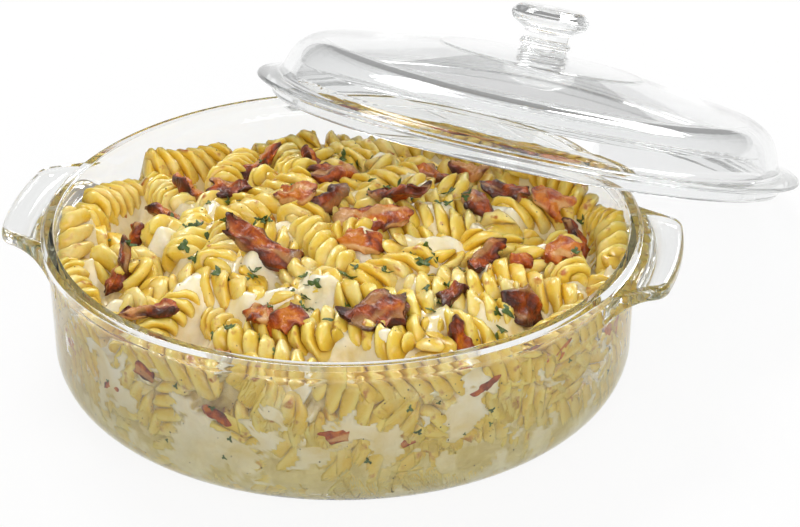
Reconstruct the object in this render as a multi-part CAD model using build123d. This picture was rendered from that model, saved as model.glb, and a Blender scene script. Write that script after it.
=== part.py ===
"""A round glass casserole dish with two tab handles, its domed glass lid, and a pasta bake in it.

Frame: millimetres, +Z up. The origin is the centre of the dish's flat base, on the table, and +X runs
through one of the two handles. At rest the lid leans on the dish: the low edge of its flange stands on
the table, and its skirt lies across the dish's rim at two points.
"""

import os
from math import cos, radians, sin

from build123d import *

# Dish, pressed glass
RIM_R = 115.0  # outer edge of the flat band on top of the rim
RIM_BAND = 3.5  # width of that band
DISH_H = 65.0
BASE_T = 5.0  # thickness of the glass floor
WALL_TOP_R = 114.4  # outside of the wall, just under the lip
WALL_FOOT_R = 112.8  # outside of the wall, carried down to the table
FOOT_RADIUS = 17.0  # the big soft corner between wall and base, outside
WALL_T = 3.9  # wall thickness at the foot
LIP_R = 116.6  # the bead under the rim band
LIP_TOP_DROP = 1.6
LIP_H = 4.6
LIP_FOOT_H = 8.2  # from the rim down to where the bead has died out in the wall

# Handles, one piece with the dish
HANDLE_TIP_R = 132.3
HANDLE_TIP_ANGLE = 12.4  # half of the tab's width at its tip, in degrees about the dish's axis
HANDLE_ROOT_R = WALL_TOP_R  # the sides sweep on until they meet the wall
HANDLE_ROOT_ANGLE = 20.0  # half of its width there
HANDLE_DROP = 2.8  # top face of the tab, below the rim
HANDLE_T = 6.2
HANDLE_CORNER = 8.0
HANDLE_FLARE = 22.0  # radius of the sweep from the tab's side into the rim
HANDLE_EDGE = 2.4  # rounding of the tab's top and bottom edges
HANDLE_REACH = 32.0  # from the tip, inwards, to where the sweep has met the wall
HANDLE_WEB_DEPTH = 17.0  # the thickened root under the tab dies out this far below the rim

# Lid, pressed glass, in its own frame: seat plane at zero, axis up
FLANGE_R = 117.7
FLANGE_T = 3.4
SKIRT_R = 110.2
SKIRT_T = 3.6
SKIRT_H = 5.0
DOME_FOOT_R = 108.4
DOME_SHOULDER_R = 103.0
DOME_SHOULDER_H = 21.2
DOME_CENTRE_H = 33.2
DOME_RING_R = 43.5  # a faint step on the top of the dome
DOME_RING_STEP = 0.5
DOME_T = 4.0
SHOULDER_RADIUS = 16.0
KNOB_NECK_R = 9.6
KNOB_RIDGE_R = 11.0
KNOB_HEAD_R = 17.0
KNOB_HEAD_H = 10.6
KNOB_TOP_H = 53.0

# Where the lid leans
LEAN_ANGLE = 67.8  # direction of the lean, from +X about +Z, in degrees
LEAN_TILT = 21.65  # of the lid's axis from upright
LEAN_REACH = 143.0  # from the dish's axis to the centre of the lid's seat plane
TABLE_GAP = 0.3  # under the flange's low edge

# Pasta bake, a plain mound in the dish
FOOD_GAP = 0.3  # to the glass wall
FOOD_EDGE_H = 50.0
FOOD_CROWN_R = 36.0  # the flat crown, before the mound falls off towards the wall
FOOD_TOP_H = 64.0


def rounded_section(corners):
    """A closed outline in the XZ plane from (radius, height, rounding) corners."""
    outline = make_face(Polyline([(r, 0, z) for r, z, _ in corners], close=True)).face()
    for r, z, rounding in corners:
        if rounding:
            corner = outline.vertices().sort_by_distance((r, 0, z))[0]
            outline = outline.fillet_2d(rounding, [corner])
    return outline


def turned(corners):
    """The solid that the outline sweeps about the vertical axis."""
    return revolve(rounded_section(corners), Axis.Z)


def dish_bowl():
    """The round dish: flat base, big foot corner, near-vertical wall, lip bead and flat rim band."""
    inner_top_r = RIM_R - RIM_BAND
    return turned(
        [
            (0, 0, 0),
            (WALL_FOOT_R, 0, FOOT_RADIUS),
            (WALL_TOP_R, DISH_H - LIP_FOOT_H, 5.0),
            (LIP_R, DISH_H - LIP_H, 1.6),
            (LIP_R, DISH_H - LIP_TOP_DROP, 0.8),
            (RIM_R, DISH_H, 0.5),
            (inner_top_r, DISH_H, 0.5),
            (inner_top_r - 0.3, DISH_H - LIP_FOOT_H, 0),
            (WALL_FOOT_R - WALL_T, BASE_T, FOOT_RADIUS - WALL_T),
            (0, BASE_T, 0),
        ]
    )


def handle_plan():
    """The tab seen from above, with its sides flaring into the rim."""
    tip, root = radians(HANDLE_TIP_ANGLE), radians(HANDLE_ROOT_ANGLE)
    tip_corner = (HANDLE_TIP_R * cos(tip), HANDLE_TIP_R * sin(tip))
    root_corner = (HANDLE_ROOT_R * cos(root), HANDLE_ROOT_R * sin(root))
    mirrored_tip = (tip_corner[0], -tip_corner[1])
    mirrored_root = (root_corner[0], -root_corner[1])
    tab = make_face(
        [
            Line(root_corner, tip_corner),
            ThreePointArc(tip_corner, (HANDLE_TIP_R, 0), mirrored_tip),
            Line(mirrored_tip, mirrored_root),
            Line(mirrored_root, (0, 0)),
            Line((0, 0), root_corner),
        ]
    )
    plan = (Circle(HANDLE_ROOT_R) + tab).face()
    for point in (root_corner, mirrored_root):
        plan = plan.fillet_2d(HANDLE_FLARE, [plan.vertices().sort_by_distance((*point, 0))[0]])
    for point in (tip_corner, mirrored_tip):
        plan = plan.fillet_2d(HANDLE_CORNER, [plan.vertices().sort_by_distance((*point, 0))[0]])
    return plan


def on_handle_outline(edge):
    """Whether an edge of the tab runs along its outline, above or below."""
    middle = edge @ 0.5
    along_side = abs(middle.Y) > 1 and middle.X ** 2 + middle.Y ** 2 > (HANDLE_ROOT_R + 0.2) ** 2
    along_tip = middle.X > HANDLE_TIP_R - 0.1
    lies_flat = abs((edge @ 0).Z - (edge @ 1).Z) < HANDLE_T / 2
    return lies_flat and (along_side or along_tip)


def handle():
    """One tab handle on +X, reaching into the wall so that the two fuse."""
    top = DISH_H - HANDLE_DROP
    bottom = top - HANDLE_T
    core_r = WALL_TOP_R - 1.6
    inside_r = core_r - 4 * HANDLE_EDGE
    past_tip = HANDLE_TIP_R + 10
    ring = turned(
        [
            (inside_r, top, 0),
            (past_tip, top, 0),
            (past_tip, bottom, 0),
            (LIP_R + 4.5, bottom, 12.0),
            (WALL_TOP_R - 0.8, DISH_H - HANDLE_WEB_DEPTH, 0),
            (inside_r, DISH_H - HANDLE_WEB_DEPTH, 0),
        ]
    )
    column = Pos(0, 0, DISH_H - 2 * HANDLE_WEB_DEPTH) * extrude(handle_plan(), 2 * HANDLE_WEB_DEPTH)
    tab = (ring & column).solid()
    outline = [e for e in tab.edges() if on_handle_outline(e)]
    core = Pos(0, 0, DISH_H / 2) * Cylinder(core_r, 2 * DISH_H)
    near_side = Pos(HANDLE_TIP_R, 0, DISH_H / 2) * Box(2 * HANDLE_REACH, 2 * RIM_R, 2 * DISH_H)
    return ((tab.fillet(HANDLE_EDGE, outline) - core) & near_side).solid()


def dish():
    """Bowl and both handles, one piece of glass."""
    tab = handle()
    return (dish_bowl() + tab + Rot(0, 0, 180) * tab).solid()


def lid_upright():
    """The lid in its own frame: flange, skirt, dome and knob, one piece of glass."""
    knob_foot = DOME_CENTRE_H - 0.4
    head_foot = KNOB_TOP_H - KNOB_HEAD_H
    ring_h = DOME_CENTRE_H - 2.6
    return turned(
        [
            (0, KNOB_TOP_H, 0),
            (KNOB_HEAD_R - 3.0, KNOB_TOP_H - 0.4, 4.0),
            (KNOB_HEAD_R, KNOB_TOP_H - 4.2, 2.0),
            (KNOB_HEAD_R - 1.2, KNOB_TOP_H - 7.2, 2.5),
            (KNOB_NECK_R + 0.2, head_foot, 0.8),
            (KNOB_NECK_R, knob_foot + 6.0, 0.5),
            (KNOB_RIDGE_R, knob_foot + 5.0, 0.7),
            (KNOB_RIDGE_R, knob_foot + 3.6, 0.7),
            (KNOB_NECK_R, knob_foot + 2.6, 0.5),
            (KNOB_NECK_R + 0.8, knob_foot, 2.0),
            (DOME_RING_R, ring_h, 1.5),
            (DOME_RING_R + 1.2, ring_h - DOME_RING_STEP, 1.5),
            (DOME_SHOULDER_R - 0.4, DOME_SHOULDER_H, SHOULDER_RADIUS),
            (DOME_FOOT_R, FLANGE_T + 1.4, 5.0),
            (FLANGE_R - 0.6, FLANGE_T - 0.6, 0.8),
            (FLANGE_R, FLANGE_T - 1.9, 0.6),
            (FLANGE_R - 2.4, 0, 1.2),
            (SKIRT_R, 0, 0.8),
            (SKIRT_R - 0.2, -SKIRT_H, 1.4),
            (SKIRT_R - SKIRT_T + 0.4, -SKIRT_H, 1.4),
            (DOME_FOOT_R - DOME_T - 0.6, FLANGE_T, 6.0),
            (DOME_SHOULDER_R - DOME_T - 0.6, DOME_SHOULDER_H - DOME_T, SHOULDER_RADIUS - DOME_T),
            (DOME_RING_R, ring_h - DOME_T, 20.0),
            (0, DOME_CENTRE_H - DOME_T, 0),
        ]
    )


def lid():
    """The lid as it leans, its flange on the table and its skirt across the dish's rim."""
    low_edge = Rot(0, LEAN_TILT, 0) * lid_upright()
    seat_h = TABLE_GAP - low_edge.bounding_box().min.Z
    return Rot(0, 0, LEAN_ANGLE) * Pos(LEAN_REACH, 0, seat_h) * low_edge


def pasta_bake():
    """The food as one plain mound: it rests on the glass floor and stays just clear of the wall."""
    floor_r = WALL_FOOT_R - WALL_T - FOOD_GAP
    wall_lean = (RIM_R - RIM_BAND - 0.3 - WALL_FOOT_R + WALL_T) / (DISH_H - LIP_FOOT_H - BASE_T)
    edge_r = floor_r + wall_lean * (FOOD_EDGE_H - BASE_T)
    return turned(
        [
            (0, BASE_T, 0),
            (floor_r, BASE_T, FOOT_RADIUS - WALL_T + FOOD_GAP),
            (edge_r, FOOD_EDGE_H, 4.0),
            (FOOD_CROWN_R, FOOD_TOP_H, 60.0),
            (0, FOOD_TOP_H, 0),
        ]
    )


NODES = {"dish": dish, "lid": lid, "pasta_bake": pasta_bake}

os.makedirs("parts", exist_ok=True)
for name, make in NODES.items():
    export_step(make(), f"parts/{name}.step")
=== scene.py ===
"""Looks for the covered glass casserole dish: clear glass over the CAD frame, and the pasta bake in it.

Objects are in metres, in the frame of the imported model: origin at the centre of the dish's base, +Z up.
The food is worked out in millimetres and scaled to metres when a mesh is made.
"""

import math

import bpy
import numpy as np
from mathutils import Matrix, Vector
from mathutils.bvhtree import BVHTree


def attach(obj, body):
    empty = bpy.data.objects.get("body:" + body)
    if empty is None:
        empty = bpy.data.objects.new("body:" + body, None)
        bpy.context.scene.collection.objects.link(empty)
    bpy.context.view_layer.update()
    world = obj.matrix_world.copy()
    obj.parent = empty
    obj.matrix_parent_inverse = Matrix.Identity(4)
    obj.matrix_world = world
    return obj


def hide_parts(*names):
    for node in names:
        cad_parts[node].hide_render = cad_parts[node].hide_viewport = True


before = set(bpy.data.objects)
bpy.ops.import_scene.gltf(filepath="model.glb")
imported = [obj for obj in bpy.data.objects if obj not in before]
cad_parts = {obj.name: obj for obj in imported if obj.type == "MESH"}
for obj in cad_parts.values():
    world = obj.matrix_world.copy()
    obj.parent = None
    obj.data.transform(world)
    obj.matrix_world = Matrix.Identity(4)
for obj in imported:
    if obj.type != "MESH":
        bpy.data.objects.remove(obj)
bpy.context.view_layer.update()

MM = 0.001

# Camera: where it looks from, in degrees and metres, and how far its axis passes from the origin
VIEW_AZIMUTH = 10.2
VIEW_ELEVATION = 28.21
VIEW_DISTANCE = 1.1866
AIM_RIGHT = 0.0224
AIM_UP = 0.0394
LENS = 134.1
SENSOR_WIDTH = 36.0

# Studio, in metres and watts
FLOOR_SIZE = 40.0
FLOOR_DROP = 0.0002  # the floor lies this far below the dish's base, so that the two don't flicker
FLOOR_GREY = 0.08
FLOOR_GLOW = 0.90
WORLD_LIGHT = 0.34
LIGHT_TARGET = (0, 0, 0.04)
LIGHTS = {
    "key": ((-0.55, 0.75, 1.30), (0.7, 0.5), 14),
    "back_light": ((0.55, 1.25, 0.85), (0.7, 0.3), 7),
    "front_fill": ((0.7, -1.7, 1.1), (2.2, 1.6), 33),
}  # place, width and height, power
GLASS_BOUNCES = 96  # light runs far inside the lid's curved shell before it comes out
DIFFUSE_BOUNCES = 5

# Glass
GLASS_IOR = 1.48
DISH_TINT = (0.98, 0.985, 0.98, 1)
DISH_MURK = (0.60, 0.66, 0.58, 1)
DISH_MURK_DENSITY = 4.0
LID_TINT = (0.93, 0.935, 0.935, 1)
LID_MURK = (0.60, 0.63, 0.62, 1)
LID_MURK_DENSITY = 3.0
LID_ROUGHNESS = 0.02

# Inside of the dish, in millimetres
FLOOR_H = 5.0
WALL_FOOT_R = 108.9
WALL_SLOPE = 0.0444  # the wall's lean outwards, per millimetre of height
WALL_SLOPE_TOP_H = 56.8  # above it the wall is nearly upright
CORNER_R = 13.1  # between the floor and the wall
CORNER_TOP_H = FLOOR_H + CORNER_R
# Wet food touches the glass, so its skin lies this far into the glass and no air shows between them
WET_PASTA = 0.10
WET_SAUCE = 0.05
WET_SMEAR = 0.16
WET_BITS = 0.22
WET_PEPPER = 0.32

# The heap's top: its height in the middle and how far it falls towards the wall, in millimetres
HEAP_H = 65.0
HEAP_FALL = 12.0
HEAP_FALL_BACK = 6.0  # more at the back, less at the front
HEAP_FALL_LEFT = 2.0
ABOVE_HEAP_H = 120.0  # things are dropped on the heap from here

# Rotini, in millimetres
ROTINI_COUNT = 275
ROTINI_LENGTH = (32.0, 44.0)
ROTINI_CONTACT_R = 7.0
ROTINI_PRESS_R = 5.2  # nearest that a rod comes to the glass
HUG_FROM_R = 93.0  # rods further out than this are laid along the glass
HUG_R = 4.2  # how near the glass they lie
WALL_ROTINI = 56  # more of them, lying against the glass below the food line
PAST_GLASS_R = 120.0
ROTINI_PITCH = 21.0
BLADES = 3
BLADE_SECTION = [
    (3.6, 0.00), (5.0, 0.06), (5.9, 0.16), (6.6, 0.30), (7.1, 0.46), (7.5, 0.62),
    (7.7, 0.76), (7.5, 0.87), (6.8, 0.935), (5.5, 0.965), (4.3, 0.985),
]  # radius, and share of the way round to the next blade
RING_STEP = 0.95
ROTINI_PER_GROUP = 55
HIDDEN_DEPTH = 24.0  # rotini deeper than this, and further in than HIDDEN_R, don't show and aren't made
HIDDEN_R = 90.0

# Settling of the rotini, in millimetres and shares per step
SETTLING_STEPS = 240
START_R = 100.0
START_H = (12, 60)
PUSH_APART = 0.3
SINK = 0.12
PULL_UNDER_HEAP = 0.35

# Sauce, in millimetres
SAUCE_SPOKES = 420
SAUCE_TOP_RINGS = 84
SAUCE_WALL_RINGS = 40
SAUCE_CORNER_RINGS = 10
SAUCE_EDGE_H = 52.0  # about where its top meets the glass
SAUCE_EDGE_LIMITS = (40, 60)
SAUCE_BELOW_ROTINI = 3.6
POOL_RISE = 3.8
SAUCE_PRESS = 1.0  # the skin is drawn this far into the glass, and then pressed back to its surface
MAP_STEP = 1.5  # grid of the rotini's tops
MAP_HALF = 117.0
MAP_BELOW_HEAP = 16.0  # its height where no rotini lies
MAP_BLUR_PASSES = 14
POOLS = [
    (4.6, 0.22, 15), (2.4, 0.36, 14), (6.7, 0.60, 15), (8.0, 0.45, 12), (1.6, 0.42, 12), (4.9, 0.72, 12),
    (7.7, 0.68, 12), (10.2, 0.58, 9), (3.6, 0.38, 10), (5.7, 0.80, 10),
]  # hour, share of the radius, size

# Bacon on top, seen from above with 12 o'clock at the far side of the dish: hour, share of the radius,
# length and width in millimetres, turn in degrees, and how well done it is from 0 to 1
BACON = [
    (11.1, 0.72, 24, 9, 35, 0.5), (11.6, 0.60, 15, 7, 0, 0.6), (11.9, 0.45, 21, 14, 25, 0.5),
    (10.3, 0.54, 18, 12, -10, 0.7), (10.1, 0.70, 16, 13, 10, 0.5), (9.6, 0.68, 14, 11, 20, 0.6),
    (9.2, 0.76, 20, 10, 15, 0.4), (8.5, 0.80, 24, 11, 5, 0.6), (11.6, 0.18, 22, 9, 65, 1.0),
    (10.5, 0.24, 17, 13, -20, 0.2), (1.7, 0.26, 27, 11, -35, 0.6), (2.8, 0.12, 27, 15, -5, 0.3),
    (5.2, 0.16, 17, 10, -20, 0.1), (7.8, 0.34, 34, 13, -18, 0.7), (2.4, 0.50, 14, 11, 30, 0.5),
    (2.1, 0.68, 24, 9, -30, 0.8), (2.3, 0.80, 16, 12, -20, 0.1), (3.7, 0.54, 24, 8, 60, 0.7),
    (3.4, 0.78, 18, 13, -10, 0.1), (4.2, 0.80, 24, 14, 35, 0.8), (3.0, 0.84, 18, 10, -40, 0.5),
    (5.6, 0.64, 24, 20, 55, 0.8), (6.8, 0.66, 17, 11, 85, 0.1), (6.5, 0.70, 16, 12, 10, 0.3),
    (7.6, 0.86, 22, 10, 5, 0.5), (4.7, 0.62, 15, 9, 50, 0.8), (5.0, 0.82, 20, 9, -15, 0.7),
    (5.9, 0.86, 19, 9, 0, 0.5), (1.1, 0.60, 16, 12, -50, 0.4), (1.5, 0.66, 18, 7, -35, 0.4),
    (7.0, 0.88, 22, 8, -20, 0.3), (3.6, 0.66, 9, 7, 0, 0.2),
]
BACON_T = 4.2
CHIP_GRID = (26, 18)  # points along a chunk and across it
WALL_BACON_COUNT = 22
WALL_BACON_T = 2.2

# Parsley clusters on top: hour, share of the radius, number of flakes
PARSLEY = [
    (9.1, 0.28, 9), (9.0, 0.56, 7), (1.3, 0.32, 9), (2.1, 0.46, 7), (4.6, 0.38, 9), (6.6, 0.48, 10),
    (10.0, 0.42, 5), (7.0, 0.78, 5), (12.0, 0.66, 6), (4.8, 0.62, 5), (4.6, 0.86, 4), (7.4, 0.48, 4),
]
PARSLEY_STRAYS = 40
PARSLEY_LIMIT_R = 106.0
WALL_PARSLEY = 40
FLAKE_SPOKES = 18
PEPPER_TOP = 260
PEPPER_WALL = 200


# ---- helpers ----


def wave_noise(points, wavelength, seed, terms=14):
    """Smooth random field, mostly between -1.5 and 1.5, at each point: a sum of seeded plane waves."""
    rng = np.random.default_rng(seed)
    direction = rng.normal(size=(terms, 3))
    direction /= np.linalg.norm(direction, axis=1, keepdims=True)
    waves = direction * (2 * np.pi / wavelength) * rng.uniform(0.6, 1.5, (terms, 1))
    phase = rng.uniform(0, 2 * np.pi, terms)
    return np.sin(points @ waves.T + phase).sum(axis=-1) / terms ** 0.5


def smoothstep(low, high, value):
    """From 0 to 1, eased, as the value goes from low to high."""
    share = np.clip((value - low) / (high - low), 0, 1)
    return share * share * (3 - 2 * share)


def from_clock(hour, share):
    """A place on the heap, in millimetres, from an hour on the dial and a share of the wall's radius."""
    turn = math.radians(90 - 30 * hour + VIEW_AZIMUTH)
    radius = share * WALL_FOOT_R
    return radius * math.cos(turn), radius * math.sin(turn)


def inside_r(height):
    """Radius of the glass wall's inside, above the corner."""
    return WALL_FOOT_R + WALL_SLOPE * (np.minimum(height, WALL_SLOPE_TOP_H) - FLOOR_H)


def press_inside(points, gap=-WET_PASTA):
    """Points that would reach into the glass, flattened against it; a gap below 0 lets them dip into it."""
    points = points.copy()
    points[:, 2] = np.maximum(points[:, 2], FLOOR_H + gap)
    radius = np.hypot(points[:, 0], points[:, 1])
    limit = inside_r(points[:, 2]) - gap
    low = CORNER_TOP_H - points[:, 2]
    reach = np.sqrt(np.maximum((CORNER_R - gap) ** 2 - low ** 2, 0))
    corner = inside_r(CORNER_TOP_H) - CORNER_R + reach
    limit = np.where(low > 0, np.minimum(limit, corner), limit)
    scale = np.minimum(1, limit / np.maximum(radius, 1e-6))
    points[:, :2] *= scale[:, None]
    return points


def heap_height(x, y):
    """Height of the heap's top over a place."""
    turn = math.radians(VIEW_AZIMUTH)
    right = x * math.cos(turn) + y * math.sin(turn)
    away = -x * math.sin(turn) + y * math.cos(turn)
    share = np.hypot(x, y) / WALL_FOOT_R
    fall = HEAP_FALL + (HEAP_FALL_BACK * away - HEAP_FALL_LEFT * right) / WALL_FOOT_R
    return HEAP_H - fall * share ** 2


def food_line(turn):
    """Height of the food at the glass, in a direction."""
    return float(heap_height(WALL_FOOT_R * math.cos(turn), WALL_FOOT_R * math.sin(turn)))


def join_parts(parts):
    """One set of points, faces and point values from many."""
    points, faces, values = [], [], {}
    start = 0
    for part_points, part_faces, part_values in parts:
        points.append(part_points)
        faces.extend([tuple(i + start for i in face) for face in part_faces])
        for name, value in part_values.items():
            values.setdefault(name, []).append(value)
        start += len(part_points)
    return np.concatenate(points), faces, {name: np.concatenate(v) for name, v in values.items()}


def link_object(name, data):
    """A new object in the scene."""
    thing = bpy.data.objects.new(name, data)
    bpy.context.scene.collection.objects.link(thing)
    return thing


def food_piece(name, part, material):
    """A smooth-shaded food mesh in the dish, with its point values as attributes."""
    points, faces, values = part
    mesh = bpy.data.meshes.new(name)
    mesh.from_pydata((points * MM).tolist(), [], faces)
    mesh.polygons.foreach_set("use_smooth", [True] * len(mesh.polygons))
    for value_name, value in values.items():
        mesh.attributes.new(value_name, "FLOAT", "POINT").data.foreach_set("value", value.astype(float))
    mesh.materials.append(material)
    thing = link_object(name, mesh)
    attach(thing, "dish")
    return thing


# ---- rotini ----


def closest_on_rods(start, end, one, other):
    """For pairs of rods, the share along each at which the two come closest."""
    u, v = end[one] - start[one], end[other] - start[other]
    w = start[one] - start[other]
    uu, uv, vv = (u * u).sum(1), (u * v).sum(1), (v * v).sum(1)
    uw, vw = (u * w).sum(1), (v * w).sum(1)
    s = np.clip((uv * vw - vv * uw) / np.maximum(uu * vv - uv * uv, 1e-6), 0, 1)
    t = np.clip((uv * s + vw) / vv, 0, 1)
    s = np.clip((uv * t - uw) / uu, 0, 1)
    return s, t


def keep_rods_in_dish(ends):
    """Rod ends moved back inside the glass and softly under the heap's top."""
    ends[:, 2] = np.maximum(ends[:, 2], FLOOR_H + ROTINI_CONTACT_R)
    ends = press_inside(ends, ROTINI_PRESS_R)
    over = ends[:, 2] + ROTINI_CONTACT_R - heap_height(ends[:, 0], ends[:, 1])
    ends[:, 2] -= PULL_UNDER_HEAP * np.maximum(over, 0)
    return ends


def settle_rotini():
    """Rods packed in the dish: pushed apart where they touch, pulled down and held by glass and heap."""
    rng = np.random.default_rng(7)
    turn = rng.uniform(0, 2 * np.pi, ROTINI_COUNT)
    radius = START_R * np.sqrt(rng.uniform(0, 1, ROTINI_COUNT))
    height = rng.uniform(*START_H, ROTINI_COUNT)
    middle = np.stack([radius * np.cos(turn), radius * np.sin(turn), height], 1)
    axis = rng.normal(size=(ROTINI_COUNT, 3)) * (1, 1, 0.55)
    axis /= np.linalg.norm(axis, axis=1, keepdims=True)
    length = rng.uniform(*ROTINI_LENGTH, ROTINI_COUNT)[:, None]
    half = length / 2 - ROTINI_CONTACT_R * 0.8
    start, end = middle - axis * half, middle + axis * half
    one, other = np.triu_indices(ROTINI_COUNT, 1)
    for _ in range(SETTLING_STEPS):
        near = np.linalg.norm(middle[one] - middle[other], axis=1) < ROTINI_LENGTH[1]
        a, b = one[near], other[near]
        s, t = closest_on_rods(start, end, a, b)
        s, t = s[:, None], t[:, None]
        apart = start[a] + s * (end[a] - start[a]) - start[b] - t * (end[b] - start[b])
        distance = np.maximum(np.linalg.norm(apart, axis=1, keepdims=True), 1e-3)
        push = PUSH_APART * np.maximum(2 * ROTINI_CONTACT_R - distance, 0) * apart / distance
        for rods, share, way in ((a, s, 1), (b, t, -1)):
            np.add.at(start, rods, way * (1 - share) * push)
            np.add.at(end, rods, way * share * push)
        start[:, 2] -= SINK
        end[:, 2] -= SINK
        start, end = keep_rods_in_dish(start), keep_rods_in_dish(end)
        middle = (start + end) / 2
        axis = end - start
        axis *= half / np.linalg.norm(axis, axis=1, keepdims=True)
        start, end = middle - axis, middle + axis
    start, end = hug_glass(start, end)
    middle, axis = (start + end) / 2, end - start
    return middle, axis / np.linalg.norm(axis, axis=1, keepdims=True), length[:, 0]


def hug_glass(start, end):
    """Rods near the wall moved out to lie against the glass."""
    near = np.hypot(*((start + end) / 2)[:, :2].T) > HUG_FROM_R
    for ends in (start, end):
        pushed = ends[near] * (1.5, 1.5, 1)
        ends[near] = press_inside(pushed, HUG_R)
    return start, end


def wall_rotini():
    """Rods against the glass, spread round the wall below the food line."""
    rng = np.random.default_rng(13)
    rods = []
    for k in range(WALL_ROTINI):
        turn = (k + rng.uniform(-0.4, 0.4)) * 2 * math.pi / WALL_ROTINI
        height = rng.uniform(12, food_line(turn) - 13)
        length, lean = rng.uniform(26, 38), rng.uniform(-1.2, 1.2)
        half_turn = length / 2 * math.cos(lean) / WALL_FOOT_R
        ends = []
        for way in (-1, 1):
            along = turn + way * half_turn
            rise = height + way * length / 2 * math.sin(lean)
            ends.append((PAST_GLASS_R * math.cos(along), PAST_GLASS_R * math.sin(along), rise))
        ends = press_inside(np.array(ends), HUG_R)
        axis = ends[1] - ends[0]
        rods.append(((ends[0] + ends[1]) / 2, axis / np.linalg.norm(axis), length))
    return rods


def rotini_part(middle, axis, length, rng):
    """One rotini: a three-bladed screw, slightly bent, with its ridge height and tone as point values."""
    count = int(length / RING_STEP) + 1
    along = np.linspace(-length / 2, length / 2, count)
    blade = np.array(BLADE_SECTION)
    radius = np.tile(blade[:, 0], BLADES)
    turn = np.concatenate([(blade[:, 1] + k) * 2 * np.pi / BLADES for k in range(BLADES)])
    pitch = ROTINI_PITCH * rng.uniform(0.85, 1.15)
    flutter = 1 + 0.08 * np.sin(along[:, None] * rng.uniform(0.3, 0.8) + turn[None] * 2 + rng.uniform(0, 6))
    flutter += 0.035 * np.sin(along[:, None] * rng.uniform(1.6, 2.4) + turn[None] * 3 + rng.uniform(0, 6))
    end_taper = 1 - 0.28 * np.exp(-(length / 2 - np.abs(along)) / 0.7)
    ring_r = radius[None] * flutter * end_taper[:, None] * rng.uniform(0.93, 1.1)
    ring_turn = turn[None] + along[:, None] * 2 * np.pi / pitch + rng.uniform(0, 6)
    side = np.cross(axis, rng.normal(size=3))
    side /= np.linalg.norm(side)
    up = np.cross(axis, side)
    bend = rng.uniform(-0.016, 0.016)
    spine = middle + along[:, None] * axis + 0.5 * bend * (along ** 2)[:, None] * side
    tilted_side = side - bend * along[:, None] * axis
    across, over = (ring_r * np.cos(ring_turn))[..., None], (ring_r * np.sin(ring_turn))[..., None]
    points = spine[:, None] + across * tilted_side[:, None] + over * up
    ripple = 0.35 * wave_noise(points, 6.5, int(rng.integers(1, 9999)))[..., None]
    points = points + ripple * (points - spine[:, None]) / ring_r[..., None]
    around = len(radius)
    first = np.arange(count - 1)[:, None] * around + np.arange(around)[None]
    following = np.arange(count - 1)[:, None] * around + (np.arange(around) + 1)[None] % around
    faces = np.stack([first, following, following + around, first + around], -1).reshape(-1, 4).tolist()
    points = np.concatenate([points.reshape(-1, 3), spine[:1], spine[-1:]])
    centre_a, centre_b, last = len(points) - 2, len(points) - 1, (count - 1) * around
    for k in range(around):
        following_k = (k + 1) % around
        faces.append((centre_a, following_k, k))
        faces.append((centre_b, last + k, last + following_k))
    low, high = min(radius), max(radius)
    ridge = np.concatenate([np.tile((radius - low) / (high - low), count), [0, 0]])
    tone = np.full(len(points), rng.uniform(0, 1))
    return press_inside(points), faces, {"ridge": ridge, "tone": tone}


def rotini_parts(middle, axis, length):
    """The pieces that show: those in the top layers and those near the glass."""
    rng = np.random.default_rng(11)
    parts, rods = [], []
    for place, direction, size in (*zip(middle, axis, length), *wall_rotini()):
        deep = heap_height(place[0], place[1]) - place[2] > HIDDEN_DEPTH
        far_end = np.abs(size / 2 * direction[:2]) + np.abs(place[:2])
        if deep and np.hypot(*far_end) < HIDDEN_R:
            continue
        parts.append(rotini_part(place, direction, size, rng))
        rods.append((place - direction * size / 2, place + direction * size / 2))
    return parts, rods


def make_rotini(parts, material):
    """The rotini as a few objects."""
    pieces = []
    for number, first in enumerate(range(0, len(parts), ROTINI_PER_GROUP)):
        group = join_parts(parts[first:first + ROTINI_PER_GROUP])
        pieces.append(food_piece(f"rotini_{number + 1}", group, material))
    return pieces


# ---- sauce ----


def rod_top_map(rods):
    """Height of the rotini's tops over a square grid."""
    line = np.arange(-MAP_HALF, MAP_HALF + MAP_STEP / 2, MAP_STEP)
    x, y = np.meshgrid(line, line, indexing="ij")
    top = heap_height(x, y) - MAP_BELOW_HEAP
    reach = ROTINI_CONTACT_R ** 2
    for start, end in rods:
        flat = (end - start)[:2]
        share = ((x - start[0]) * flat[0] + (y - start[1]) * flat[1]) / max(flat @ flat, 1e-6)
        share = np.clip(share, 0, 1)
        gap = (x - start[0] - share * flat[0]) ** 2 + (y - start[1] - share * flat[1]) ** 2
        height = start[2] + share * (end[2] - start[2]) + np.sqrt(np.maximum(reach - gap, 0))
        top = np.where(gap < reach, np.maximum(top, height), top)
    return top


def blur(grid, passes):
    """Each pass averages a cell with its neighbours."""
    for _ in range(passes):
        padded = np.pad(grid, 1, mode="edge")
        grid = (padded[:-2, 1:-1] + padded[2:, 1:-1] + padded[1:-1, :-2] + padded[1:-1, 2:] + 2 * grid) / 6
    return grid


def sample_map(grid, x, y):
    """Height of the map at any place, between its grid points."""
    fx = np.clip((x + MAP_HALF) / MAP_STEP, 0, grid.shape[0] - 1.001)
    fy = np.clip((y + MAP_HALF) / MAP_STEP, 0, grid.shape[1] - 1.001)
    i, j = fx.astype(int), fy.astype(int)
    a, b = fx - i, fy - j
    low = grid[i, j] * (1 - a) + grid[i + 1, j] * a
    high = grid[i, j + 1] * (1 - a) + grid[i + 1, j + 1] * a
    return low * (1 - b) + high * b


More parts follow.
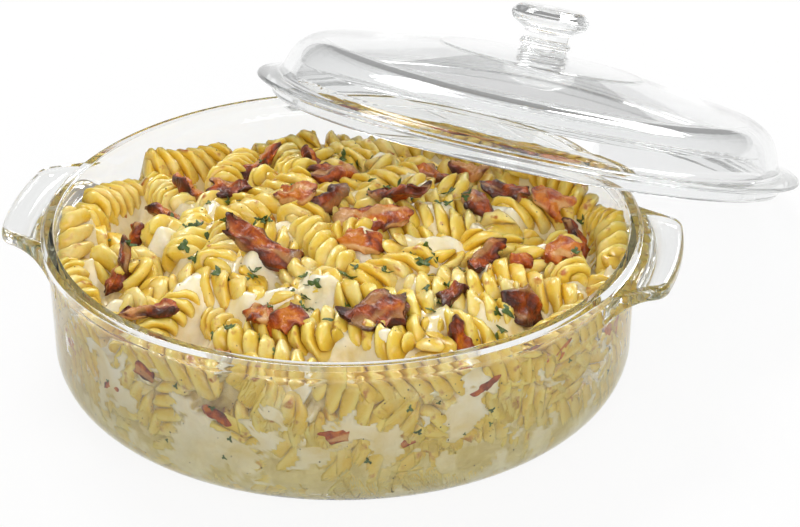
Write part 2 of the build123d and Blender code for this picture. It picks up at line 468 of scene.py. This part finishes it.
def sauce_top(tops, x, y):
    """Height of the sauce: low between the rotini, webbed over them, and higher in the pools."""
    flat = np.stack([x, y, np.zeros_like(x)], -1)
    ripple = 1.3 * wave_noise(flat, 17, 21) + 0.4 * wave_noise(flat, 6, 22)
    height = sample_map(tops, x, y) - SAUCE_BELOW_ROTINI + ripple
    wobble = 1 + 0.35 * wave_noise(flat, 22, 23)
    rise = np.zeros_like(x)
    for hour, share, size in POOLS:
        px, py = from_clock(hour, share)
        share_out = np.hypot(x - px, y - py) / (size * wobble)
        rise = np.maximum(rise, POOL_RISE * smoothstep(1.15, 0.4, share_out))
    return height + rise


def sauce_part(rods):
    """A closed skin: over the top, down the inside of the glass and across the floor."""
    tops = blur(rod_top_map(rods), MAP_BLUR_PASSES)
    turn = np.linspace(0, 2 * np.pi, SAUCE_SPOKES, endpoint=False)
    ring = np.stack([np.cos(turn), np.sin(turn)], -1)
    edge = ring * inside_r(SAUCE_EDGE_H)
    edge_h = sauce_top(tops, edge[:, 0], edge[:, 1])
    smear = wave_noise(np.concatenate([ring * 110, np.zeros((len(turn), 1))], 1), 26, 31)
    edge_h = np.clip(edge_h + 2.5 * smear, *SAUCE_EDGE_LIMITS)
    rows = []
    for q in np.linspace(0.004, 1, SAUCE_TOP_RINGS)[:-1]:
        xy = ring * (inside_r(SAUCE_EDGE_H) - 0.6) * q
        blend = smoothstep(0.95, 1.0, q)
        height = sauce_top(tops, xy[:, 0], xy[:, 1]) * (1 - blend) + edge_h * blend
        rows.append(np.column_stack([xy, height]))
    for share in np.linspace(0, 1, SAUCE_WALL_RINGS):
        height = edge_h + share * (CORNER_TOP_H - edge_h)
        rows.append(np.column_stack([ring * (inside_r(height) + SAUCE_PRESS)[:, None], height]))
    for angle in np.linspace(0, np.pi / 2, SAUCE_CORNER_RINGS)[1:]:
        radius = inside_r(CORNER_TOP_H) - CORNER_R + (CORNER_R + SAUCE_PRESS) * math.cos(angle)
        height = CORNER_TOP_H - (CORNER_R + SAUCE_PRESS) * math.sin(angle)
        rows.append(np.column_stack([ring * radius, np.full(len(turn), height)]))
    rows.append(np.column_stack([ring * 0.5, np.full(len(turn), FLOOR_H - SAUCE_PRESS)]))
    count = len(rows)
    wall = np.repeat(np.arange(count) >= SAUCE_TOP_RINGS - 1, SAUCE_SPOKES)
    points = np.array(rows).reshape(-1, 3)
    smear, recess = wall_contact(points)
    stand_off = np.where(wall, recess - WET_SAUCE - (WET_SMEAR - WET_SAUCE) * smear, 0.4)
    points = press_inside(points, stand_off)
    spoke = np.arange(SAUCE_SPOKES)[None]
    first = np.arange(count - 1)[:, None] * SAUCE_SPOKES + spoke
    following = np.arange(count - 1)[:, None] * SAUCE_SPOKES + (spoke + 1) % SAUCE_SPOKES
    quads = np.stack([first, first + SAUCE_SPOKES, following + SAUCE_SPOKES, following], -1)
    faces = quads.reshape(-1, 4).tolist()
    faces.append(tuple(range(SAUCE_SPOKES)))
    faces.append(tuple(range((count - 1) * SAUCE_SPOKES, count * SAUCE_SPOKES))[::-1])
    return points, faces, {"thin": (1 - smear) * wall}


def wall_contact(points):
    """Where thick sauce is smeared on the glass, from 0 to 1, and how far back it stays elsewhere."""
    field = wave_noise(points, 30, 41) + 0.55 * wave_noise(points, 10, 42)
    field += 0.3 * wave_noise(points, 4.5, 43)
    smear = smoothstep(0.34, 0.44, field)
    depth = 1.5 * smoothstep(22, 30, points[:, 2]) + 3.0 * smoothstep(30, 42, points[:, 2])
    return smear, depth * smoothstep(0.25, -0.15, field)


# ---- bacon, parsley and pepper ----


def chip_part(length, width, thickness, done, rng, curl=1.0):
    """A flat ragged chunk, curled, with char and fat as point values; centred, lying in XY."""
    nu, nv = CHIP_GRID
    u, v = np.meshgrid(np.linspace(-1, 1, nu), np.linspace(-1, 1, nv), indexing="ij")
    flat = np.stack([u, v, np.zeros_like(u)], -1) * (length / 2, width / 2, 0)
    seed = int(rng.integers(1, 10_000))
    ragged = np.stack([wave_noise(flat, 9, seed), wave_noise(flat, 9, seed + 1)], -1)
    edge = np.maximum(np.abs(u), np.abs(v))[..., None] ** 2
    corner = 1 - 0.24 * (u * v) ** 2
    nicks = wave_noise(flat, 4, seed + 7)[..., None]
    xy = flat[..., :2] * (corner[..., None] + 0.05 * nicks * edge) + ragged * edge * 0.13 * width
    xy[..., 0] += rng.uniform(-0.3, 0.3) * xy[..., 1]
    crumple = 0.9 * wave_noise(flat, 13, seed + 2) + 0.4 * wave_noise(flat, 5, seed + 3)
    roll = rng.uniform(0.6, 1.5) * curl * rng.choice([-1, 1])
    lift = roll * (u ** 2) * length * 0.09 + rng.uniform(-0.8, 0.8) * curl * v ** 2 * width * 0.12
    rim = np.clip(1 - np.maximum(np.abs(u), np.abs(v)) ** 6, 0.25, 1)
    lump = 1 + 0.25 * wave_noise(flat, 7, seed + 4) + 0.14 * wave_noise(flat, 2.6, seed + 8)
    upper = np.concatenate([xy, (lift + crumple + thickness / 2 * rim * lump)[..., None]], -1)
    lower = np.concatenate([xy * 0.97, (lift + crumple - thickness / 2 * rim)[..., None]], -1)
    points = np.concatenate([upper.reshape(-1, 3), lower.reshape(-1, 3)])
    faces = []
    for i in range(nu - 1):
        for j in range(nv - 1):
            a, b, c, d = i * nv + j, (i + 1) * nv + j, (i + 1) * nv + j + 1, i * nv + j + 1
            faces.append((a, b, c, d))
            faces.append((a + nu * nv, d + nu * nv, c + nu * nv, b + nu * nv))
    border = [i * nv for i in range(nu)] + [(nu - 1) * nv + j for j in range(1, nv)]
    border += [i * nv + nv - 1 for i in range(nu - 2, -1, -1)] + [j for j in range(nv - 2, 0, -1)]
    for k, a in enumerate(border):
        b = border[(k + 1) % len(border)]
        faces.append((b, a, a + nu * nv, b + nu * nv))
    crisp = edge[..., 0] ** 2 * (0.25 + 0.5 * done)
    char = np.clip(done * 0.6 + crisp + 0.22 * wave_noise(flat, 8, seed + 5), 0, 1)
    streak = wave_noise(flat * (0.25, 1.6, 1), 9, seed + 6)
    fat = smoothstep(0.35, 0.8, streak) * (1 - 0.7 * done)
    values = {"char": np.tile(char.ravel(), 2), "fat": np.tile(fat.ravel(), 2)}
    return points, faces, values


def turned_to(points, normal, turn):
    """Points in XY turned by an angle and then tipped so that +Z goes to the normal."""
    c, s = math.cos(turn), math.sin(turn)
    spun = points @ np.array([[c, s, 0], [-s, c, 0], [0, 0, 1]])
    normal = normal / np.linalg.norm(normal)
    side = np.cross([0, 1, 0], normal) if abs(normal[1]) < 0.9 else np.cross([1, 0, 0], normal)
    side /= np.linalg.norm(side)
    return spun @ np.stack([side, np.cross(normal, side), normal])


def heap_surface(parts):
    """The heap's triangles, for dropping things on it."""
    points, faces, _ = join_parts([(p, f, {}) for p, f, _ in parts])
    return BVHTree.FromPolygons([Vector(p) for p in points], faces)


def drop_onto(surface, x, y):
    """Where something dropped straight down meets the heap, and the slope there."""
    place, normal, _, _ = surface.ray_cast(Vector((x, y, ABOVE_HEAP_H)), Vector((0, 0, -1)))
    return np.array(place), np.array(normal)


def resting_plane(surface, x, y, reach):
    """Height and slope of the heap round a place, from a ring of drops."""
    turns = np.linspace(0, 2 * np.pi, 8, endpoint=False)
    hits = [drop_onto(surface, x + reach * math.cos(t), y + reach * math.sin(t))[0] for t in turns]
    hits = np.array(hits + [drop_onto(surface, x, y)[0]])
    around = np.column_stack([hits[:, :2] - (x, y), np.ones(len(hits))])
    slope = np.linalg.lstsq(around, hits[:, 2], rcond=None)[0]
    high = np.sort(hits[:, 2])[-4:].mean()
    normal = np.array([-slope[0], -slope[1], 1])
    return 0.5 * high + 0.5 * slope[2], normal / np.linalg.norm(normal)


def make_bacon(surface, material):
    """The chunks on top, each an object of its own."""
    rng = np.random.default_rng(17)
    parts = []
    for number, (hour, share, length, width, turn, done) in enumerate(BACON):
        x, y = from_clock(hour, share)
        points, faces, values = chip_part(length, width, BACON_T, done, rng)
        height, normal = resting_plane(surface, x, y, min(length, width) * 0.45)
        normal = normal + rng.normal(size=3) * (0.18, 0.18, 0)
        points = turned_to(points, normal, math.radians(turn + VIEW_AZIMUTH))
        points = press_inside(points + (x, y, height + 1.0), 0.6)
        parts.append((points, faces, values))
        food_piece(f"bacon_{number + 1}", parts[-1], material)
    return parts


def on_wall(points, turn, height):
    """Flat points stood upright against the inside of the glass."""
    outward = np.array([math.cos(turn), math.sin(turn), 0])
    sideways = np.array([-math.sin(turn), math.cos(turn), 0])
    radius = inside_r(height) - 0.9
    centre = outward * radius + (0, 0, height)
    return centre + points[:, :1] * sideways + points[:, 1:2] * (0, 0, 1) + points[:, 2:] * outward


def make_wall_bacon(material):
    """Small bits that show through the glass."""
    rng = np.random.default_rng(23)
    parts = []
    for k in range(WALL_BACON_COUNT):
        turn = (k + rng.uniform(-0.3, 0.3)) * 2 * math.pi / WALL_BACON_COUNT
        length, width, done = rng.uniform(8, 16), rng.uniform(5, 8), rng.uniform(0, 0.6)
        points, faces, values = chip_part(length, width, WALL_BACON_T, done, rng, 0.3)
        points = turned_to(points, np.array([0.01, 0.0, 1.0]), rng.uniform(-0.5, 0.5))
        points = on_wall(points, turn, food_line(turn) - rng.uniform(5, 30))
        parts.append((press_inside(points, -WET_BITS), faces, values))
    food_piece("bacon_at_glass", join_parts(parts), material)


def flake_part(size, rng):
    """A crumpled leaf of three lobes."""
    count = FLAKE_SPOKES
    turns = np.linspace(0, 2 * np.pi, count, endpoint=False)
    lobes = 0.62 + 0.3 * np.cos(3 * turns + rng.uniform(0, 6)) + 0.12 * np.cos(7 * turns + rng.uniform(0, 6))
    rings = [np.zeros((1, 3))]
    for share in (0.5, 1.0):
        reach = lobes * share * size / 2
        rings.append(np.column_stack([reach * np.cos(turns), reach * np.sin(turns) * 0.75, np.zeros(count)]))
    points = np.concatenate(rings)
    fold = rng.uniform(0.15, 0.5)
    crumple = wave_noise(points, size, int(rng.integers(1, 9999)))
    points[:, 2] = fold * np.abs(points[:, 0]) + 0.13 * size * crumple
    around = [(k, (k + 1) % count) for k in range(count)]
    inner, outer = 1, 1 + count
    under = len(points) + outer
    faces = [(0, inner + k, inner + n) for k, n in around]
    faces += [(inner + k, outer + k, outer + n, inner + n) for k, n in around]
    thick = points - (0, 0, 0.25)
    back = [tuple(i + len(points) for i in face[::-1]) for face in faces]
    rim = [(outer + n, outer + k, under + k, under + n) for k, n in around]
    tone = np.full(2 * len(points), rng.uniform(0, 1))
    return np.concatenate([points, thick]), faces + back + rim, {"tone": tone}


def parsley_places(rng):
    """Places on the heap: the clusters, and strays all over."""
    places = []
    for hour, share, count in PARSLEY:
        x, y = from_clock(hour, share)
        places += [(x + dx, y + dy) for dx, dy in rng.normal(scale=5.5, size=(count, 2))]
    for _ in range(PARSLEY_STRAYS):
        places.append(from_clock(rng.uniform(0, 12), math.sqrt(rng.uniform(0, 0.9))))
    return [(x, y) for x, y in places if math.hypot(x, y) < PARSLEY_LIMIT_R]


def make_parsley(surface, material):
    """Flakes strewn on top and a few against the glass."""
    rng = np.random.default_rng(29)
    parts = []
    for x, y in parsley_places(rng):
        points, faces, values = flake_part(rng.uniform(3.2, 8.0), rng)
        place, normal = drop_onto(surface, x, y)
        normal = normal + (0, 0, 0.6) + rng.normal(size=3) * 0.25
        points = turned_to(points, normal, rng.uniform(0, 6)) + place + normal * 0.25
        parts.append((press_inside(points, 0.5), faces, values))
    for _ in range(WALL_PARSLEY):
        points, faces, values = flake_part(rng.uniform(2.0, 4.5), rng)
        flatter = points * (1, 1, 0.3) + (0, 0, 1.2)
        points = turned_to(flatter, np.array([0.01, 0.0, 1.0]), rng.uniform(0, 6))
        turn = rng.uniform(0, 2 * math.pi)
        points = on_wall(points, turn, food_line(turn) - rng.uniform(4, 38))
        parts.append((press_inside(points, -WET_BITS), faces, values))
    food_piece("parsley", join_parts(parts), material)


def grain_part(size, rng):
    """A pepper grain: a rough eight-sided crumb."""
    corners = np.array([(1, 0, 0), (0, 1, 0), (-1, 0, 0), (0, -1, 0), (0, 0, 1), (0, 0, -1)], float)
    corners *= size / 2 * rng.uniform(0.6, 1.2, (6, 1))
    faces = [(k, (k + 1) % 4, 4) for k in range(4)] + [((k + 1) % 4, k, 5) for k in range(4)]
    return corners, faces, {}


def make_pepper(surface, material):
    """Grains strewn on top and against the glass."""
    rng = np.random.default_rng(37)
    parts = []
    for _ in range(PEPPER_TOP):
        x, y = from_clock(rng.uniform(0, 12), math.sqrt(rng.uniform(0, 0.93)))
        points, faces, values = grain_part(rng.uniform(0.4, 1.0), rng)
        parts.append((points + drop_onto(surface, x, y)[0], faces, values))
    for _ in range(PEPPER_WALL):
        points, faces, values = grain_part(rng.uniform(0.4, 0.9), rng)
        turn = rng.uniform(0, 2 * math.pi)
        points = on_wall(points + (0, 0, 1.2), turn, food_line(turn) - rng.uniform(3, 46))
        parts.append((press_inside(points, -WET_PEPPER), faces, values))
    food_piece("black_pepper", join_parts(parts), material)


# ---- materials ----


def make_material(name):
    """A new node material, its tree and its Principled shader."""
    material = bpy.data.materials.new(name)
    material.use_nodes = True
    tree = material.node_tree
    return material, tree, tree.nodes["Principled BSDF"]


def set_inputs(node, **values):
    """Socket values by name, with _ for a space."""
    for name, value in values.items():
        node.inputs[name.replace("_", " ")].default_value = value


def add_node(tree, kind, **values):
    """A new node with its socket values."""
    node = tree.nodes.new(kind)
    set_inputs(node, **values)
    return node


def noise_at(tree, scale, detail=3.0, distortion=0.0):
    """Noise over the object's own coordinates; scale is per metre."""
    place = add_node(tree, "ShaderNodeTexCoord")
    noise = add_node(tree, "ShaderNodeTexNoise", Scale=scale, Detail=detail, Distortion=distortion)
    tree.links.new(place.outputs["Object"], noise.inputs["Vector"])
    return noise.outputs["Fac"]


def point_value(tree, name):
    """One of the mesh's point values."""
    node = tree.nodes.new("ShaderNodeAttribute")
    node.attribute_name = name
    return node.outputs["Fac"]


def ramp(tree, value, stops):
    """Colours (or greys) along a value."""
    node = tree.nodes.new("ShaderNodeValToRGB")
    elements = node.color_ramp.elements
    while len(elements) < len(stops):
        elements.new(0.5)
    for element, (place, colour) in zip(elements, stops):
        element.position = place
        element.color = (*colour, 1) if isinstance(colour, tuple) else (colour, colour, colour, 1)
    tree.links.new(value, node.inputs["Fac"])
    return node.outputs["Color"]


def mixed(tree, share, first, second):
    """Colour mix; each of first and second is a colour or an output."""
    node = tree.nodes.new("ShaderNodeMix")
    node.data_type = "RGBA"
    tree.links.new(share, node.inputs[0])
    for value, socket in ((first, node.inputs[6]), (second, node.inputs[7])):
        if isinstance(value, tuple):
            socket.default_value = (*value, 1)
        else:
            tree.links.new(value, socket)
    return node.outputs[2]


def calculated(tree, operation, *values):
    """A Math node; each value is a number or an output."""
    node = tree.nodes.new("ShaderNodeMath")
    node.operation = operation
    for value, socket in zip(values, node.inputs):
        if isinstance(value, (int, float)):
            socket.default_value = value
        else:
            tree.links.new(value, socket)
    return node.outputs[0]


def bumped(tree, shader, height, strength, distance):
    """Fine relief on a shader, from a height."""
    bump = add_node(tree, "ShaderNodeBump", Strength=strength, Distance=distance)
    tree.links.new(height, bump.inputs["Height"])
    tree.links.new(bump.outputs["Normal"], shader.inputs["Normal"])


def painted_shade_low_in_dish(tree, most):
    """A share of painted shade that grows from the upper wall down to the floor."""
    place = add_node(tree, "ShaderNodeTexCoord")
    split = add_node(tree, "ShaderNodeSeparateXYZ")
    tree.links.new(place.outputs["Object"], split.inputs[0])
    low = add_node(tree, "ShaderNodeMapRange", From_Min=0.040, From_Max=0.006, To_Min=0.0, To_Max=most)
    tree.links.new(split.outputs["Z"], low.inputs["Value"])
    return low.outputs["Result"]


def glass_material(name, tint, roughness, murk, murk_density):
    """Clear pressed glass that greys a little over long paths."""
    material, tree, shader = make_material(name)
    set_inputs(shader, Base_Color=tint, Transmission_Weight=1.0, Roughness=roughness, IOR=GLASS_IOR)
    absorption = add_node(tree, "ShaderNodeVolumeAbsorption", Color=murk, Density=murk_density)
    tree.links.new(absorption.outputs["Volume"], tree.nodes["Material Output"].inputs["Volume"])
    return material


def pasta_material():
    """Golden cooked pasta: painted shade deeper in the grooves, painted highlight paler on the ridges, cream
    in patches, spots browned in the oven, painted shade duller low in the dish.
    """
    material, tree, shader = make_material("pasta_glazed")
    ridge, tone = point_value(tree, "ridge"), point_value(tree, "tone")
    # painted shade: darker in the grooves; painted highlight: paler towards the ridge tips
    groove_shade_ridge_highlight = ramp(tree, ridge, [
        (0.0, (0.32, 0.16, 0.012)), (0.40, (0.66, 0.42, 0.036)),
        (0.85, (0.84, 0.60, 0.080)), (1.0, (0.92, 0.74, 0.20)),
    ])
    warm = mixed(tree, ramp(tree, tone, [(0.2, 0.0), (1.0, 0.55)]), groove_shade_ridge_highlight, (0.82, 0.50, 0.035))
    cream = ramp(tree, noise_at(tree, 70, 4), [(0.50, 0.0), (0.68, 0.75)])
    creamy = mixed(tree, cream, warm, (0.87, 0.74, 0.33))
    patches = ramp(tree, noise_at(tree, 160, 3), [(0.60, 0.0), (0.70, 1.0)])
    ridges = ramp(tree, ridge, [(0.7, 0.0), (0.95, 1.0)])
    spots = calculated(tree, "MULTIPLY", patches, ridges)
    baked_and_shade = mixed(tree, spots, creamy, (0.50, 0.17, 0.03))
    # painted shade: duller and darker towards the floor of the dish
    baked_and_shade = mixed(tree, painted_shade_low_in_dish(tree, 0.6), baked_and_shade, (0.60, 0.50, 0.15))
    tree.links.new(baked_and_shade, shader.inputs["Base Color"])
    roughness = ramp(tree, noise_at(tree, 200, 3), [(0.35, 0.22), (0.7, 0.42)])
    tree.links.new(roughness, shader.inputs["Roughness"])
    set_inputs(shader, Subsurface_Weight=0.25, Subsurface_Radius=(0.004, 0.0024, 0.0008),
               Subsurface_Scale=0.6, Coat_Weight=0.3, Coat_Roughness=0.1, Specular_IOR_Level=0.4)
    bumped(tree, shader, noise_at(tree, 900, 4), 0.25, 0.0004)
    return material


def sauce_material():
    """Cream sauce: pale and oily, yellower round the pasta, with painted shade going olive and darker low in
    the dish.
    """
    material, tree, shader = make_material("cream_sauce")
    base = ramp(tree, noise_at(tree, 60, 4, 0.6), [
        (0.3, (0.80, 0.63, 0.26)), (0.5, (0.90, 0.80, 0.53)), (0.7, (0.94, 0.88, 0.70)),
    ])
    streaks = ramp(tree, noise_at(tree, 120, 5, 1.0), [
        (0.35, (0.50, 0.34, 0.05)), (0.62, (0.76, 0.61, 0.22)),
    ])
    held_back = mixed(tree, point_value(tree, "thin"), base, streaks)
    # painted shade: the olive, darker colour that the sauce takes low in the dish
    olive = ramp(tree, noise_at(tree, 90, 4, 0.5), [
        (0.35, (0.54, 0.46, 0.14)), (0.65, (0.74, 0.67, 0.33)),
    ])
    cream = mixed(tree, painted_shade_low_in_dish(tree, 0.75), held_back, olive)
    tree.links.new(cream, shader.inputs["Base Color"])
    set_inputs(shader, Roughness=0.24, Subsurface_Weight=0.2, Subsurface_Radius=(0.004, 0.003, 0.0016),
               Subsurface_Scale=0.6, Coat_Weight=0.5, Coat_Roughness=0.08)
    bumped(tree, shader, noise_at(tree, 260, 5, 0.4), 0.35, 0.0012)
    return material


def bacon_material():
    """Fried bacon: amber to red-brown lean, near-black crisp edges, pale fat streaks, greasy shine."""
    material, tree, shader = make_material("bacon_crisp")
    grain = noise_at(tree, 240, 5, 0.8)
    charred = calculated(tree, "MULTIPLY", point_value(tree, "char"), 0.75)
    mottled = calculated(tree, "MULTIPLY", calculated(tree, "SUBTRACT", grain, 0.5), 1.1)
    meat = ramp(tree, calculated(tree, "ADD", charred, mottled), [
        (0.0, (0.62, 0.19, 0.015)), (0.22, (0.42, 0.075, 0.007)), (0.45, (0.19, 0.032, 0.007)),
        (0.7, (0.075, 0.017, 0.006)), (1.0, (0.02, 0.008, 0.005)),
    ])
    fat = mixed(tree, point_value(tree, "fat"), meat, (0.66, 0.36, 0.13))
    tree.links.new(fat, shader.inputs["Base Color"])
    roughness = ramp(tree, grain, [(0.3, 0.25), (0.75, 0.5)])
    tree.links.new(roughness, shader.inputs["Roughness"])
    set_inputs(shader, Coat_Weight=0.2, Coat_Roughness=0.1, Specular_IOR_Level=0.35)
    rough = calculated(tree, "ADD", grain, noise_at(tree, 700, 4))
    bumped(tree, shader, rough, 0.8, 0.0009)
    return material


def parsley_material():
    """Dark green leaf, some flakes lighter."""
    material, tree, shader = make_material("parsley_leaf")
    leaf = ramp(tree, noise_at(tree, 500, 3), [(0.3, (0.030, 0.065, 0.008)), (0.7, (0.09, 0.15, 0.02))])
    lighter = ramp(tree, point_value(tree, "tone"), [(0.5, 0.0), (1.0, 0.6)])
    tree.links.new(mixed(tree, lighter, leaf, (0.13, 0.22, 0.05)), shader.inputs["Base Color"])
    set_inputs(shader, Roughness=0.5, Coat_Weight=0.15, Coat_Roughness=0.2)
    bumped(tree, shader, noise_at(tree, 1200, 2), 0.5, 0.0004)
    return material


def pepper_material():
    """Near-black and brown crumbs."""
    material, tree, shader = make_material("pepper_grain")
    crumb = ramp(tree, noise_at(tree, 1500, 2), [(0.3, (0.015, 0.012, 0.01)), (0.7, (0.10, 0.07, 0.045))])
    tree.links.new(crumb, shader.inputs["Base Color"])
    set_inputs(shader, Roughness=0.6)
    return material


# ---- camera, light and floor ----


def view_axes():
    """The camera's right, up and back directions."""
    a, e = math.radians(VIEW_AZIMUTH), math.radians(VIEW_ELEVATION)
    back = Vector((math.sin(a) * math.cos(e), -math.cos(a) * math.cos(e), math.sin(e)))
    right = Vector((math.cos(a), math.sin(a), 0))
    return right, back.cross(right), back


def make_camera():
    """The main view."""
    right, up, back = view_axes()
    data = bpy.data.cameras.new("camera")
    data.lens = LENS
    data.sensor_width = SENSOR_WIDTH
    camera = link_object("camera", data)
    camera.location = right * AIM_RIGHT + up * AIM_UP + back * VIEW_DISTANCE
    camera.rotation_euler = back.to_track_quat("Z", "Y").to_euler()
    bpy.context.scene.camera = camera


def make_floor():
    """A plain pale floor that glows, so it lights the food through the glass from below."""
    half = FLOOR_SIZE / 2
    mesh = bpy.data.meshes.new("floor")
    corners = [(-half, -half, 0), (half, -half, 0), (half, half, 0), (-half, half, 0)]
    mesh.from_pydata(corners, [], [(0, 1, 2, 3)])
    floor = link_object("floor", mesh)
    floor.location.z = -FLOOR_DROP
    material, _, shader = make_material("floor_white")
    set_inputs(shader, Base_Color=(FLOOR_GREY, FLOOR_GREY, FLOOR_GREY, 1), Roughness=1.0,
               Specular_IOR_Level=0.0, Emission_Color=(1, 1, 1, 1), Emission_Strength=FLOOR_GLOW)
    mesh.materials.append(material)


def make_world():
    """Even grey light from all round."""
    world = bpy.data.worlds.new("studio")
    world.use_nodes = True
    set_inputs(world.node_tree.nodes["Background"], Color=(1, 1, 1, 1), Strength=WORLD_LIGHT)
    bpy.context.scene.world = world
    bpy.context.scene.view_settings.view_transform = "Standard"


def make_lights():
    """Soft rectangular lights, all turned to the dish."""
    for name, (place, size, power) in LIGHTS.items():
        data = bpy.data.lights.new(name, "AREA")
        data.shape = "RECTANGLE"
        data.size, data.size_y = size
        data.energy = power
        light = link_object(name, data)
        light.location = place
        direction = Vector(LIGHT_TARGET) - Vector(place)
        light.rotation_euler = direction.to_track_quat("-Z", "Y").to_euler()


def let_light_through():
    """Enough bounces for light to find its way out of thick glass."""
    cycles = bpy.context.scene.cycles
    cycles.max_bounces = GLASS_BOUNCES
    cycles.transmission_bounces = GLASS_BOUNCES
    cycles.glossy_bounces = GLASS_BOUNCES
    cycles.diffuse_bounces = DIFFUSE_BOUNCES


def dress_cad_node(node, material):
    """A material on each slot of a CAD node."""
    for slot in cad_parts[node].material_slots:
        slot.material = material


def make_glass():
    """Clear dish and slightly hazier lid."""
    dress_cad_node("dish", glass_material("dish_glass", DISH_TINT, 0.0, DISH_MURK, DISH_MURK_DENSITY))
    dress_cad_node("lid", glass_material("lid_glass", LID_TINT, LID_ROUGHNESS, LID_MURK, LID_MURK_DENSITY))


def make_food():
    """The pasta bake: settled rotini, the sauce round them, and what is strewn on top."""
    pasta, sauce, bacon = pasta_material(), sauce_material(), bacon_material()
    parts, rods = rotini_parts(*settle_rotini())
    rotini = make_rotini(parts, pasta)
    skin = sauce_part(rods)
    pool = food_piece("cream_sauce", skin, sauce)
    for piece in (pool, *rotini):
        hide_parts("pasta_bake")
    surface = heap_surface(parts + [skin])
    chips = make_bacon(surface, bacon)
    make_wall_bacon(bacon)
    topped = heap_surface(parts + [skin] + chips)
    make_parsley(topped, parsley_material())
    make_pepper(topped, pepper_material())


def main():
    """The studio, the glass and the food."""
    make_camera()
    make_floor()
    make_world()
    make_lights()
    let_light_through()
    make_glass()
    make_food()


main()
